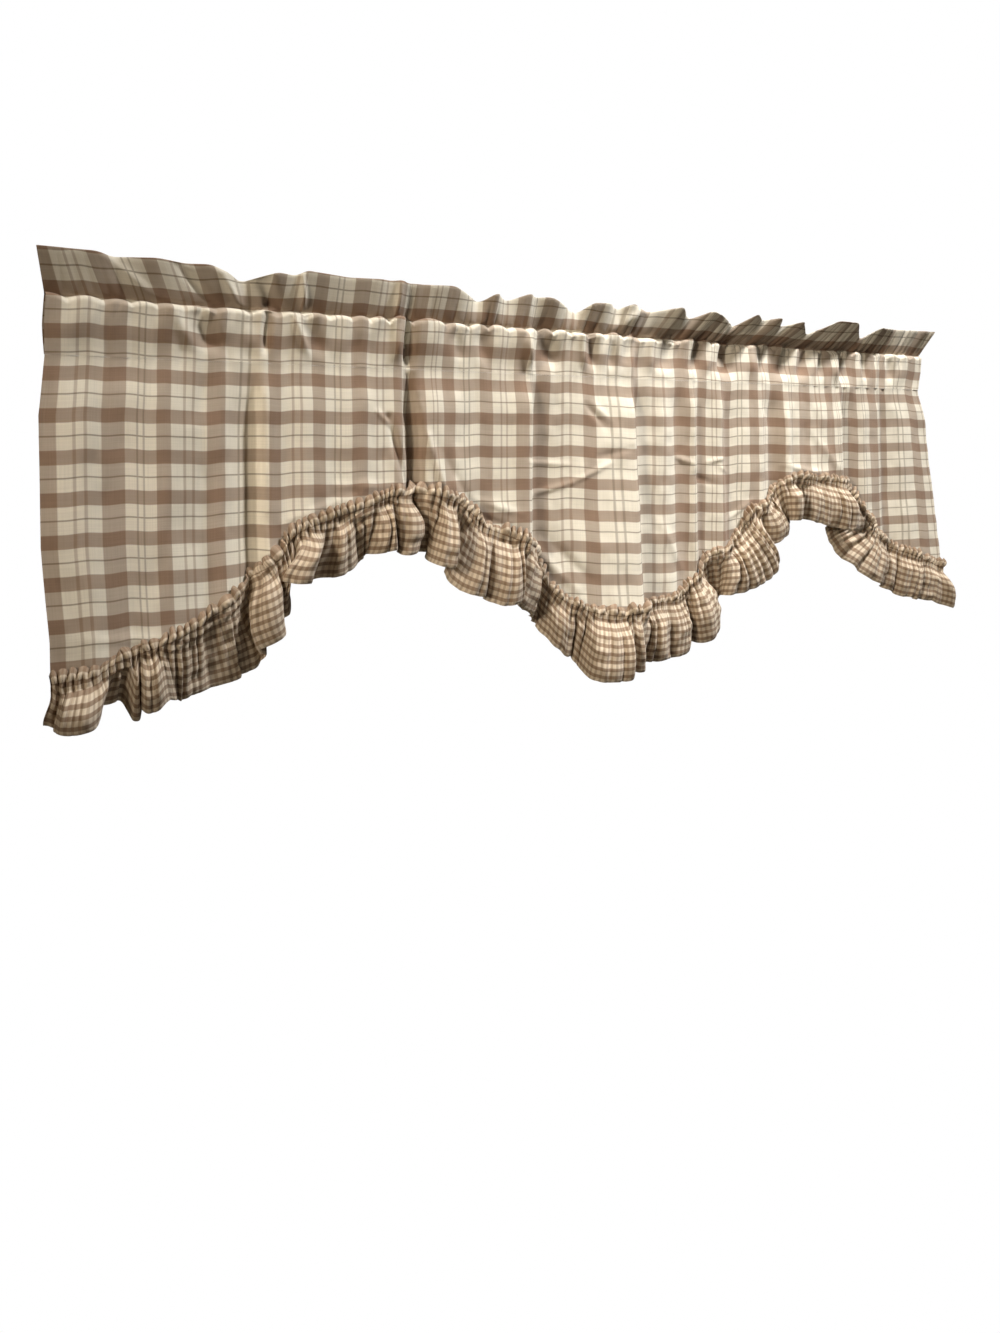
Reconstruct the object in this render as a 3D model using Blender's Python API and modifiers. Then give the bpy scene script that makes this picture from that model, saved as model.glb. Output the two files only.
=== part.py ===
"""A country window valance: plaid cotton, gathered on a rod pocket, with a scalloped hem and a gingham ruffle.

Frame: X runs along the heading, left to right as seen from the front. The front faces -Y and Z is up. The
origin is the middle of the heading's top edge. All sizes are in metres.

Each piece of cloth is one open grid, laid out by a formula and thickened with Solidify:
  heading  the folded top of the plaid cloth: a standing frill, a stitched line, and the open rod pocket
  panel    the same cloth below the pocket, hanging in soft folds down to its scalloped edge
  ruffle   a gathered gingham strip sewn along that edge, with a short ruched head above its stitching

Positions along the valance are shares of the hung width: 0 is the left end and 1 is the right end. How far a
fold stands forward is measured towards the front, so a point's Y is minus that distance.
"""

import bpy
import numpy as np

# %% Driving sizes

HUNG_WIDTH = 1.220
FRILL_HEIGHT = 0.039
POCKET_HEIGHT = 0.050
RUFFLE_HEAD = 0.008

# %% Cloth and seams

CLOTH_THICK = 0.0015
LAYER_GAP = 0.0012
PIECE_GAP = 0.0003
RUFFLE_CLEARANCE = 0.0015
PANEL_TAIL = 0.004

# %% Rod pocket: the straight room that its two walls leave for a flat curtain rod

POCKET_FRONT = 0.0085
POCKET_BACK = 0.0050

# Heights of the pocket's rows, as shares of it from the lower stitching: the walls part above a stitched margin
STITCHED_MARGIN = 0.07
POCKET_LEVELS = (0.0, STITCHED_MARGIN, 0.26, 0.5, 0.74, 1 - STITCHED_MARGIN, 1.0)

# %% Grid cells of each piece

HEADING_COLUMNS = 92
FRILL_ROWS = 3
FOLD_ROWS = 1
POCKET_ROWS = len(POCKET_LEVELS) - 1
PANEL_COLUMNS = 104
PANEL_ROWS = 11
RUFFLE_COLUMNS = 172

# %% Folds

# The top edge of the frill, a row for each turn of its gathers:
# place along the valance, how far the edge stands forward (mm), how far it dips below the top line (mm)
FRILL_TURNS = (
    (0.000, 9, 0),
    (0.045, 8, 0),
    (0.060, 2, 2),
    (0.085, 8, 0),
    (0.118, 5, 2),
    (0.144, -14, 18),
    (0.160, 8, 4),
    (0.185, 10, 0),
    (0.225, 4, 2),
    (0.262, 8, 0),
    (0.300, 3, 2),
    (0.319, 8, 1),
    (0.350, -9, 14),
    (0.361, 8, 4),
    (0.378, -8, 10),
    (0.397, 9, 1),
    (0.406, -3, 4),
    (0.420, 8, 3),
    (0.456, -12, 17),
    (0.466, 8, 5),
    (0.486, 6, 4),
    (0.500, -6, 9),
    (0.511, 9, 2),
    (0.535, -8, 9),
    (0.575, 12, 2),
    (0.599, -8, 13),
    (0.616, 9, 3),
    (0.640, 2, 7),
    (0.664, -12, 18),
    (0.682, 9, 2),
    (0.703, -5, 7),
    (0.717, 9, 4),
    (0.730, -8, 13),
    (0.752, 10, 6),
    (0.774, -12, 20),
    (0.795, 0, 10),
    (0.811, 10, 1),
    (0.844, 10, 1),
    (0.874, -12, 20),
    (0.893, 8, 4),
    (0.925, 2, 3),
    (0.960, 6, 2),
    (1.000, 12, 2),
)

# The panel's folds, a row for each crest and valley:
# place under the pocket, place at the hem, forward under the pocket (mm), forward at the hem (mm)
PANEL_TURNS = (
    (0.000, 0.000, 5, 0),
    (0.030, 0.032, 7, 9),
    (0.080, 0.085, 6, 8),
    (0.112, 0.114, 5, 6),
    (0.143, 0.147, -13, -17),
    (0.156, 0.158, 9, 10),
    (0.215, 0.215, 6, 8),
    (0.262, 0.262, 2, 3),
    (0.2765, 0.282, -11, -15),
    (0.294, 0.312, 8, 9),
    (0.345, 0.352, 1, 1),
    (0.380, 0.382, 4, 8),
    (0.404, 0.400, 11, 13),
    (0.416, 0.424, -10, -12),
    (0.450, 0.452, 0, 4),
    (0.495, 0.490, 4, 24),
    (0.523, 0.522, 10, 31),
    (0.533, 0.541, -9, -2),
    (0.562, 0.575, 7, 6),
    (0.586, 0.598, -5, -3),
    (0.611, 0.612, 8, 9),
    (0.623, 0.628, -8, -8),
    (0.645, 0.650, 5, 7),
    (0.672, 0.675, -4, -4),
    (0.702, 0.702, 6, 6),
    (0.723, 0.726, -8, -10),
    (0.745, 0.746, 8, 9),
    (0.785, 0.785, 2, 3),
    (0.832, 0.830, 8, 10),
    (0.843, 0.846, -8, -10),
    (0.872, 0.874, 5, 6),
    (0.904, 0.906, 3, 3),
    (0.915, 0.918, -6, -6),
    (0.940, 0.944, 5, 10),
    (1.000, 1.000, 2, 20),
)

# The scalloped line where the ruffle is sewn: place along the valance, drop below the top line (mm)
SCALLOP = (
    (0.000, 357),
    (0.060, 347),
    (0.090, 335),
    (0.118, 320),
    (0.140, 301),
    (0.163, 277),
    (0.183, 246),
    (0.224, 234),
    (0.262, 218),
    (0.300, 216),
    (0.329, 230),
    (0.355, 255),
    (0.386, 269),
    (0.406, 279),
    (0.430, 334),
    (0.465, 356),
    (0.495, 363),
    (0.522, 360),
    (0.578, 355),
    (0.602, 343),
    (0.619, 311),
    (0.653, 299),
    (0.670, 288),
    (0.684, 258),
    (0.715, 243),
    (0.745, 212),
    (0.775, 216),
    (0.838, 222),
    (0.856, 238),
    (0.886, 295),
    (0.914, 314),
    (0.941, 326),
    (0.968, 338),
    (1.000, 352),
)

# The ruffle's puffs, a row for each crest and valley of its lower edge:
# place along the valance, how far the edge stands forward of the panel, its length below the stitching and how
# far it swings to the right (mm)
RUFFLE_TURNS = (
    (0.000, -9, 44, -6),
    (0.026, 17, 52, -3),
    (0.049, -16, 40, 0),
    (0.061, 9, 50, 0),
    (0.067, -4, 45, 0),
    (0.074, 10, 50, 0),
    (0.084, -4, 45, 0),
    (0.106, -9, 54, 0),
    (0.128, 2, 58, 4),
    (0.139, -12, 60, -2),
    (0.156, 20, 62, -3),
    (0.170, -10, 66, -12),
    (0.179, 2, 56, -14),
    (0.185, -3, 48, -13),
    (0.193, 9, 44, -9),
    (0.204, -9, 44, -4),
    (0.219, 9, 46, 0),
    (0.236, -14, 46, 0),
    (0.258, 10, 49, 0),
    (0.272, -9, 47, 0),
    (0.280, 8, 50, 0),
    (0.293, -11, 51, 0),
    (0.314, 16, 57, 0),
    (0.328, -14, 57, 0),
    (0.345, 13, 57, 0),
    (0.363, -2, 55, 0),
    (0.382, 16, 59, 0),
    (0.401, -15, 60, 0),
    (0.411, 1, 55, 0),
    (0.424, -13, 46, 0),
    (0.442, 5, 50, 0),
    (0.457, -8, 48, 0),
    (0.486, 18, 64, 3),
    (0.516, 0, 66, -4),
    (0.527, -13, 60, 0),
    (0.536, 2, 64, 0),
    (0.550, 12, 60, 0),
    (0.568, -5, 60, 0),
    (0.585, 7, 60, 0),
    (0.600, -9, 62, -4),
    (0.612, 10, 64, 0),
    (0.628, -17, 50, -4),
    (0.652, 10, 56, 0),
    (0.662, 0, 50, 0),
    (0.675, 11, 54, 0),
    (0.690, 1, 56, 0),
    (0.706, 14, 60, 0),
    (0.721, -15, 50, 0),
    (0.737, 10, 58, 0),
    (0.757, -1, 50, 0),
    (0.784, -9, 48, 0),
    (0.814, 5, 50, 4),
    (0.848, 14, 52, 14),
    (0.869, -28, 54, -24),
    (0.904, 4, 58, 0),
    (0.934, -5, 54, 0),
    (0.960, 6, 52, 0),
    (0.982, -3, 48, 0),
    (1.000, 16, 56, 11),
)

# How the two ends are drawn in or flare out: depth below the top line, shift of the left end and shift of the
# right end along the valance (mm, to the right)
END_SHIFTS = (
    (0, -6, -10),
    (39, 3, -24),
    (64, 2, -23),
    (90, 3, -29),
    (140, -2, -18),
    (250, 0, -6),
    (330, 7, 0),
    (420, 9, 0),
)

# Rows of the ruffle, from the top of its ruched head (-1) over the stitching (0) to its lower edge (1)
RUFFLE_LEVELS = (-1.0, 0.0, 0.1, 0.3, 0.53, 0.77, 1.0)

# Widths that the turns are rounded over, as shares of the hung width
FRILL_ROUNDING = 0.008
FOLD_ROUNDING = 0.010
HEM_ROUNDING = 0.017
PUFF_ROUNDING = 0.006
SCALLOP_ROUNDING = 0.020
HANG_ROUNDING = 0.035

# How the cloth hangs: the share of each fold that the stitching lets through, the length below the pocket in which
# the folds open, the ruffle's pull straight down, its belly, the lean of its head, how steeply the ends' shifts die
# out inwards, how round the pocket's walls are, and how late the frill spreads
STITCHED_SHARE = 0.30
FOLD_OPENING = 0.045
GRAVITY_SHARE = 0.62
RUFFLE_BILLOW = 0.004
HEAD_LEAN = 0.0015
END_POWER = 10
WALL_POWER = 0.8
SPREAD_POWER = 1.4

ROUNDING_STEPS = 9
PLACES_TRIED = 4001


def column(table, index):
    """One column of a table of millimetres, or of places, as an array."""
    return np.array([row[index] for row in table], float)


def turned(at, table, value, width, place=0):
    """A column of a table at places along the valance, in metres, with each turn rounded over the given width."""
    shifts = np.linspace(-0.5, 0.5, ROUNDING_STEPS) * width
    runs = [np.interp(at + shift, column(table, place), column(table, value)) for shift in shifts]
    return sum(runs) / len(runs) / 1000


def ease(share):
    """0 below 0, 1 above 1, and a smooth step between."""
    share = np.clip(share, 0, 1)
    return share * share * (3 - 2 * share)


def even_places(forward, count):
    """Places along the valance that are equally far apart on the cloth, with this forward profile."""
    dense = np.linspace(0, 1, PLACES_TRIED)
    steps = np.hypot(np.diff(dense) * HUNG_WIDTH, np.diff(forward(dense)))
    along = np.concatenate([[0], np.cumsum(steps)])
    return np.interp(np.linspace(0, along[-1], count + 1), along, dense)


# %% Shape of the plaid cloth


def frill_edge(at):
    """How far the frill's top edge stands forward."""
    return turned(at, FRILL_TURNS, 1, FRILL_ROUNDING)


def frill_dip(at):
    """How far the frill's top edge dips below the top line."""
    return turned(at, FRILL_TURNS, 2, FRILL_ROUNDING)


def fold_under_pocket(at):
    """How far the panel's folds stand forward just under the rod pocket."""
    return turned(at, PANEL_TURNS, 2, FOLD_ROUNDING)


def fold_at_hem(at):
    """How far the panel's folds stand forward at the scalloped edge."""
    return turned(at, PANEL_TURNS, 3, HEM_ROUNDING, place=1)


def stitched_line(at):
    """The folds that the stitching of the rod pocket still lets through."""
    return STITCHED_SHARE * fold_under_pocket(at)


def scallop_drop(at):
    """Drop of the ruffle's stitching below the top line."""
    return turned(at, SCALLOP, 1, SCALLOP_ROUNDING)


def hung_x(at, height):
    """X of a place along the valance, with its ends drawn in or flared at this height."""
    drop = -height * 1000
    left = np.interp(drop, column(END_SHIFTS, 0), column(END_SHIFTS, 1)) / 1000
    right = np.interp(drop, column(END_SHIFTS, 0), column(END_SHIFTS, 2)) / 1000
    return (at - 0.5) * HUNG_WIDTH + left * (1 - at) ** END_POWER + right * at**END_POWER


PANEL_TOP = FRILL_HEIGHT + POCKET_HEIGHT + PIECE_GAP
TOP_FOLD = LAYER_GAP / 2 + CLOTH_THICK * np.sqrt(2)


def panel_point(at, down):
    """A point of the panel: down is 0 under the rod pocket and 1 at the scalloped edge."""
    length = scallop_drop(at) + PANEL_TAIL - PANEL_TOP
    below = down * length
    opened = STITCHED_SHARE + (1 - STITCHED_SHARE) * ease(below / FOLD_OPENING)
    forward = opened * ((1 - down) * fold_under_pocket(at) + down * fold_at_hem(at))
    height = -PANEL_TOP - below
    return np.stack([hung_x(at, height), -forward, height], axis=-1)


def heading_point(at, level, side):
    """A point of the heading's inner face.

    The level counts pocket rows, then frill rows and then the top fold, upwards from the lower stitching. The
    side is 1 on the front layer, -1 on the back layer, and 0 where they meet in the fold.
    """
    pocket = np.interp(level, np.arange(POCKET_ROWS + 1), POCKET_LEVELS)
    frill = np.clip(level - POCKET_ROWS, 0, FRILL_ROWS) / FRILL_ROWS
    fold = np.clip(level - POCKET_ROWS - FRILL_ROWS, 0, FOLD_ROWS)
    open_share = np.clip((pocket - STITCHED_MARGIN) / (1 - 2 * STITCHED_MARGIN), 0, 1)
    bulge = np.where(frill > 0, 0, np.sin(np.pi * open_share).clip(0) ** WALL_POWER)
    wall = np.where(side > 0, POCKET_FRONT, -POCKET_BACK)
    middle = stitched_line(at) * (1 - frill) + frill_edge(at) * frill**SPREAD_POWER
    forward = (middle + side * LAYER_GAP / 2) * (1 - bulge) + wall * bulge
    height = -FRILL_HEIGHT - POCKET_HEIGHT * (1 - pocket)
    height = height + frill * (FRILL_HEIGHT - TOP_FOLD - frill_dip(at)) + fold * LAYER_GAP / 2
    return np.stack([hung_x(at, height), -forward, height], axis=-1)


# %% Shape of the gingham ruffle


def on_panel(at, height, panel_places):
    """The panel's faceted cloth near its lower edge: X and Y at this height, and the way across it, to the front."""
    edge = panel_point(panel_places, np.ones_like(panel_places))
    above = panel_point(panel_places, np.full_like(panel_places, 1 - 1 / PANEL_ROWS))
    run = np.gradient(edge, axis=0)
    across = np.stack([run[:, 1], -run[:, 0]], axis=-1) / np.hypot(run[:, 0], run[:, 1])[:, None]
    low = np.stack([np.interp(at, panel_places, edge[:, axis]) for axis in range(3)], axis=-1)
    high = np.stack([np.interp(at, panel_places, above[:, axis]) for axis in range(3)], axis=-1)
    share = np.clip((height - low[..., 2]) / (high[..., 2] - low[..., 2]), 0, 1)[..., None]
    faced = np.stack([np.interp(at, panel_places, across[:, axis]) for axis in range(2)], axis=-1)
    faced = faced / np.hypot(faced[..., 0], faced[..., 1])[..., None]
    return (low + share * (high - low))[..., :2], faced


def hang_direction(at):
    """The way the strip falls: partly straight down, and partly square to the scalloped line. It gives X and Z."""
    step = HANG_ROUNDING / 2
    fall = (scallop_drop(at + step) - scallop_drop(at - step)) / (2 * step * HUNG_WIDTH)
    square = np.stack([-fall, -np.ones_like(fall)], axis=-1) / np.hypot(fall, 1)[..., None]
    hang = (1 - GRAVITY_SHARE) * square + GRAVITY_SHARE * np.array([0.0, -1.0])
    return hang / np.hypot(hang[..., 0], hang[..., 1])[..., None]


def puff(at):
    """How far the ruffle's lower edge stands forward of the panel."""
    return turned(at, RUFFLE_TURNS, 1, PUFF_ROUNDING)


def skirt_length(at):
    """Length of the ruffle below its stitching."""
    return turned(at, RUFFLE_TURNS, 2, PUFF_ROUNDING)


def swing(at):
    """How far the ruffle's lower edge swings to the right of its stitching."""
    return turned(at, RUFFLE_TURNS, 3, PUFF_ROUNDING)


def ruffle_point(at, level, panel_places):
    """A point of the ruffle: the level is -1 on top of the ruched head, 0 on the stitching and 1 at the edge."""
    length = np.where(level < 0, level * RUFFLE_HEAD, level * skirt_length(at))
    hang = hang_direction(at)
    backed = np.clip(length, -RUFFLE_HEAD, PANEL_TAIL)
    height = -scallop_drop(at) + hang[..., 1] * length
    seam, faced = on_panel(at + hang[..., 0] * backed / HUNG_WIDTH, height, panel_places)
    loose = np.clip((length - PANEL_TAIL) / (skirt_length(at) - PANEL_TAIL), 0, 1)
    lean = HEAD_LEAN * np.clip(-level, 0, 1)
    forward = puff(at) * ease(loose) + RUFFLE_BILLOW * np.sin(np.pi * loose) + lean
    offset = CLOTH_THICK + RUFFLE_CLEARANCE + forward
    sideways = hang[..., 0] * (length - backed) + swing(at) * ease(loose)
    x = seam[..., 0] + faced[..., 0] * offset + sideways
    y = seam[..., 1] + faced[..., 1] * offset
    return np.stack([x, y, height], axis=-1)


# %% Blender objects


def plain_cloth(name, colour):
    """A matt cotton material."""
    material = bpy.data.materials.new(name)
    material.use_nodes = True
    shader = material.node_tree.nodes["Principled BSDF"]
    shader.inputs["Base Color"].default_value = (*colour, 1)
    shader.inputs["Roughness"].default_value = 0.9
    shader.inputs["Metallic"].default_value = 0.0
    return material


def cloth_object(name, collection, material, columns, rows, place, offset):
    """A grid of cells, each point moved to place(column share, row share), then thickened into a shell."""
    bpy.ops.mesh.primitive_grid_add(x_subdivisions=columns, y_subdivisions=rows, size=2)
    obj = bpy.context.object
    obj.name = name
    obj.data.name = name
    points = np.empty(len(obj.data.vertices) * 3)
    obj.data.vertices.foreach_get("co", points)
    shares = (points.reshape(-1, 3)[:, :2] + 1) / 2
    obj.data.vertices.foreach_set("co", place(shares[:, 0], shares[:, 1]).ravel())
    obj.data.update()
    obj.data.shade_smooth()
    obj.data.materials.append(material)
    for owner in list(obj.users_collection):
        owner.objects.unlink(obj)
    collection.objects.link(obj)
    facets = obj.modifiers.new("Facets", "TRIANGULATE")
    facets.quad_method = "SHORTEST_DIAGONAL"
    shell = obj.modifiers.new("Cloth thickness", "SOLIDIFY")
    shell.thickness = CLOTH_THICK
    shell.offset = offset
    shell.use_even_offset = True
    return obj


def make_heading(collection):
    """The frill and the open rod pocket, as one folded sheet."""
    rows = POCKET_ROWS + FRILL_ROWS + FOLD_ROWS
    places = even_places(frill_edge, HEADING_COLUMNS)

    def place(across, along):
        at = places[np.rint(across * HEADING_COLUMNS).astype(int)]
        step = np.rint(along * 2 * rows)
        return heading_point(at, rows - np.abs(step - rows), np.sign(rows - step))

    plaid = plain_cloth("Plaid cotton, heading", (0.42, 0.31, 0.22))
    return cloth_object("heading", collection, plaid, HEADING_COLUMNS, 2 * rows, place, 1)


def make_panel(collection, places):
    """The hanging plaid panel."""

    def place(across, up):
        at = places[np.rint(across * PANEL_COLUMNS).astype(int)]
        return panel_point(at, 1 - up)

    plaid = plain_cloth("Plaid cotton, panel", (0.52, 0.41, 0.30))
    return cloth_object("panel", collection, plaid, PANEL_COLUMNS, PANEL_ROWS, place, 0)


def make_ruffle(collection, panel_places):
    """The gathered gingham strip along the scalloped edge."""
    places = even_places(puff, RUFFLE_COLUMNS)
    rows = len(RUFFLE_LEVELS) - 1

    def place(across, up):
        at = places[np.rint(across * RUFFLE_COLUMNS).astype(int)]
        level = np.interp(rows * (1 - up), np.arange(rows + 1), RUFFLE_LEVELS)
        return ruffle_point(at, level, panel_places)

    gingham = plain_cloth("Gingham cotton, ruffle", (0.33, 0.24, 0.16))
    return cloth_object("ruffle", collection, gingham, RUFFLE_COLUMNS, rows, place, 0)


def main():
    for old in list(bpy.data.objects):
        bpy.data.objects.remove(old)
    valance = bpy.data.collections.new("Window valance")
    bpy.context.scene.collection.children.link(valance)
    panel_places = even_places(fold_at_hem, PANEL_COLUMNS)
    make_heading(valance)
    make_panel(valance, panel_places)
    make_ruffle(valance, panel_places)


main()
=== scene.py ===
# %% [markdown]
# # A gathered window valance, sewn from checked cotton
#
# A valance is the short curtain across the top of a window. This one is a wide piece of plaid homespun. Its
# top is folded over and stitched twice, which leaves a standing frill and a pocket for the rod, and a
# gathered strip of small gingham is sewn along its scalloped lower edge.
#
# The file builds the cloth as numpy surfaces around a fixed frame: the plain solids that were made first.
# Each cell makes one thing, and prints what it made. X runs along the heading, the front faces -Y, Z is up.

import bpy
import numpy as np
from mathutils import Matrix, Vector


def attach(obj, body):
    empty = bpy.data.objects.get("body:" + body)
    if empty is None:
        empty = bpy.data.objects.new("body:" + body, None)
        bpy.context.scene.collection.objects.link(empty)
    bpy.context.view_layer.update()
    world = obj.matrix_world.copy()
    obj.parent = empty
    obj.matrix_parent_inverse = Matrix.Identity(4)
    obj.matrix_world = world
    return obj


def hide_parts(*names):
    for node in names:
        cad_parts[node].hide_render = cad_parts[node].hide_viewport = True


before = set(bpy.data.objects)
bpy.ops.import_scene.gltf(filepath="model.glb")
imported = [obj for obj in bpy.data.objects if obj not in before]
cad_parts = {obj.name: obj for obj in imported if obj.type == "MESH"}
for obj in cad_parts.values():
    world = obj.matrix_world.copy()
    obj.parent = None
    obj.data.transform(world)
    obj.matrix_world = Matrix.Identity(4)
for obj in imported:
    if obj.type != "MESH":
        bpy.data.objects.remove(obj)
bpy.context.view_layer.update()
scene = bpy.context.scene
print("solids:", sorted(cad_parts))


# %% [markdown]
# ## The sizes and the gathers
#
# Every place along the valance is a share of its hung width, from 0 at the left end to 1 at the right end.
# The folds are tables, with a row for each crest and valley. The scalloped line and the
# shifts of the ends are the rows of the solids. The others have more rows, and stay near the solids.

# %% Driving sizes in metres
HUNG_WIDTH = 1.220
FRILL_HEIGHT = 0.039
POCKET_HEIGHT = 0.050
PIECE_GAP = 0.0003  # the heading and the panel are one cloth but two pieces
PANEL_TOP = FRILL_HEIGHT + POCKET_HEIGHT + PIECE_GAP
PANEL_TAIL = 0.007  # how far the panel reaches below the ruffle's stitching
SIDE_HEM = 0.020
print("drop of the panel's top edge:", PANEL_TOP)

# %% Gathers of the frill's top edge: place, how far it stands forward (mm), how far it dips (mm)
FRILL_TURNS = (
    (0.000, 9, 0), (0.045, 8, 0), (0.055, 2, 3), (0.085, 8, 1), (0.105, 3, 3), (0.122, 6, 2), (0.134, 2, 8),
    (0.142, -10, 14), (0.152, 2, 9), (0.163, 9, 4), (0.178, 3, 5), (0.186, 10, 0), (0.225, 4, 2),
    (0.250, 7, 1), (0.262, 1, 1), (0.270, 9, 0), (0.276, 1, 2), (0.300, 6, 2), (0.319, 8, 1),
    (0.350, -9, 14), (0.361, 8, 4), (0.378, -8, 10), (0.397, 9, 1), (0.406, -3, 4), (0.420, 8, 3),
    (0.456, -12, 17), (0.466, 8, 5), (0.486, 6, 4), (0.500, -6, 9), (0.511, 9, 2), (0.535, -8, 9),
    (0.565, 12, 2), (0.586, -9, 13), (0.603, 10, 3), (0.624, 2, 7), (0.646, -12, 18), (0.664, 10, 2),
    (0.685, -6, 7), (0.699, 10, 4), (0.713, -9, 13), (0.734, 11, 6), (0.757, -12, 20), (0.778, 0, 10),
    (0.796, 10, 1), (0.832, 10, 1), (0.862, -12, 20), (0.884, 8, 4), (0.925, 2, 3), (0.960, 6, 2),
    (1.000, 12, 2),
)
print("gathers in the frill:", len(FRILL_TURNS))

# %% Folds of the panel: place under the pocket and at the hem, how far forward there and there (mm)
PANEL_TURNS = (
    (0.000, 0.000, 5, 0), (0.026, 0.030, 9, 12), (0.052, 0.056, 4, 4), (0.082, 0.086, 8, 11),
    (0.108, 0.112, 2, 1), (0.126, 0.128, 5, 6), (0.141, 0.143, -6, -8), (0.149, 0.151, -9, -13),
    (0.156, 0.158, 9, 10), (0.170, 0.172, 3, 3), (0.190, 0.192, 8, 10), (0.215, 0.215, 3, 3),
    (0.240, 0.240, 7, 9), (0.258, 0.260, 1, 1), (0.270, 0.274, 4, 6), (0.275, 0.280, 5, 7),
    (0.281, 0.287, -17, -22), (0.288, 0.296, 5, 6), (0.296, 0.313, 8, 10), (0.345, 0.352, 1, 1),
    (0.380, 0.382, 4, 8), (0.404, 0.400, 11, 13), (0.411, 0.415, -9, -12), (0.450, 0.452, 0, 4),
    (0.495, 0.490, 4, 24), (0.523, 0.522, 10, 31), (0.531, 0.538, -9, -2), (0.562, 0.575, 7, 6),
    (0.586, 0.598, -5, -3), (0.604, 0.607, 8, 9), (0.613, 0.617, -6, -7), (0.643, 0.648, 7, 8),
    (0.652, 0.657, -5, -5), (0.702, 0.702, 6, 6), (0.723, 0.726, -8, -10), (0.740, 0.741, 9, 10),
    (0.752, 0.754, 0, 0), (0.785, 0.785, 2, 3), (0.832, 0.830, 8, 10), (0.843, 0.846, -8, -10),
    (0.872, 0.874, 5, 6), (0.904, 0.906, 3, 3), (0.915, 0.918, -6, -6), (0.940, 0.944, 5, 10),
    (1.000, 1.000, 2, 20),
)
print("folds in the panel:", len(PANEL_TURNS))

# %% The scalloped line where the ruffle is sewn: place, drop below the top line (mm)
SCALLOP = (
    (0.000, 357), (0.060, 347), (0.090, 335), (0.118, 320), (0.140, 301), (0.163, 277), (0.183, 246),
    (0.224, 234), (0.262, 218), (0.300, 216), (0.329, 230), (0.355, 255), (0.386, 269), (0.406, 279),
    (0.430, 334), (0.465, 356), (0.495, 363), (0.522, 360), (0.578, 355), (0.602, 343), (0.619, 311),
    (0.653, 299), (0.670, 288), (0.684, 258), (0.715, 243), (0.745, 212), (0.775, 216), (0.838, 222),
    (0.856, 238), (0.886, 295), (0.914, 314), (0.941, 326), (0.968, 338), (1.000, 352),
)
print("lowest point of the scallops:", max(row[1] for row in SCALLOP), "mm")

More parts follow.
